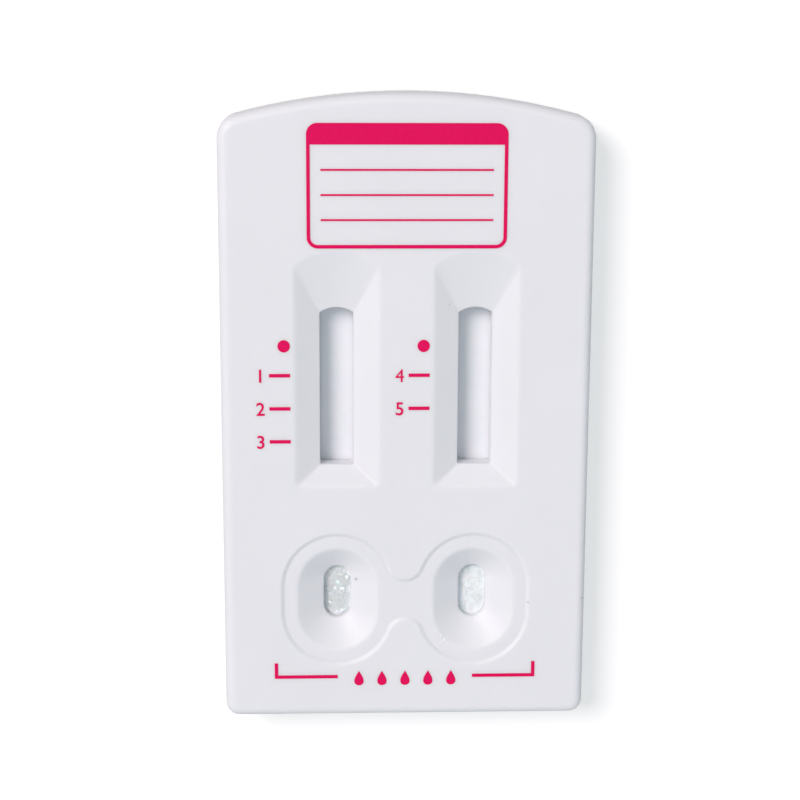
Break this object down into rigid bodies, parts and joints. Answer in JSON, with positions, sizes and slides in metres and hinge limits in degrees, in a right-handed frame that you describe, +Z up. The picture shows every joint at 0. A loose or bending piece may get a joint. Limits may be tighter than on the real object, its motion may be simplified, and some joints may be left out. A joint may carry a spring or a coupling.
{
  "type": "lateral flow cassette",
  "caption": "Flat white plastic test cassette with an arched end, bevelled result windows, funnel-shaped sample wells in one shallow recess, and absorbent strips held inside.",
  "frame": {"origin": "centre of the outline's bounding box, on the flat underside that the cassette rests on", "axes": "+X to the right as the print is read, +Y from the straight foot end to the arched crown end, +Z up out of the printed face"},
  "size_m": [0.0406, 0.07, 0.006],
  "materials": {
    "housing": "white moulded polystyrene with a fine satin texture",
    "membrane": "smooth matt white membrane",
    "backing_card": "plain white card of plastic sheet",
    "conjugate_pad": "thin glass fibre pad",
    "sample_pad": "coarse glinting glass fibre pad",
    "absorbent_pad": "thick cellulose blotting pad",
    "ink": "thin film of magenta printing ink"
  },
  "bodies": {
    "root": {"top_housing": "housing", "bottom_housing": "housing", "left_backing_card": "backing_card", "left_membrane": "membrane", "left_conjugate_pad": "conjugate_pad", "left_sample_pad": "sample_pad", "left_absorbent_pad": "absorbent_pad", "right_backing_card": "backing_card", "right_membrane": "membrane", "right_conjugate_pad": "conjugate_pad", "right_sample_pad": "sample_pad", "right_absorbent_pad": "absorbent_pad", "printed_marks": "ink"}
  },
  "joints": []
}
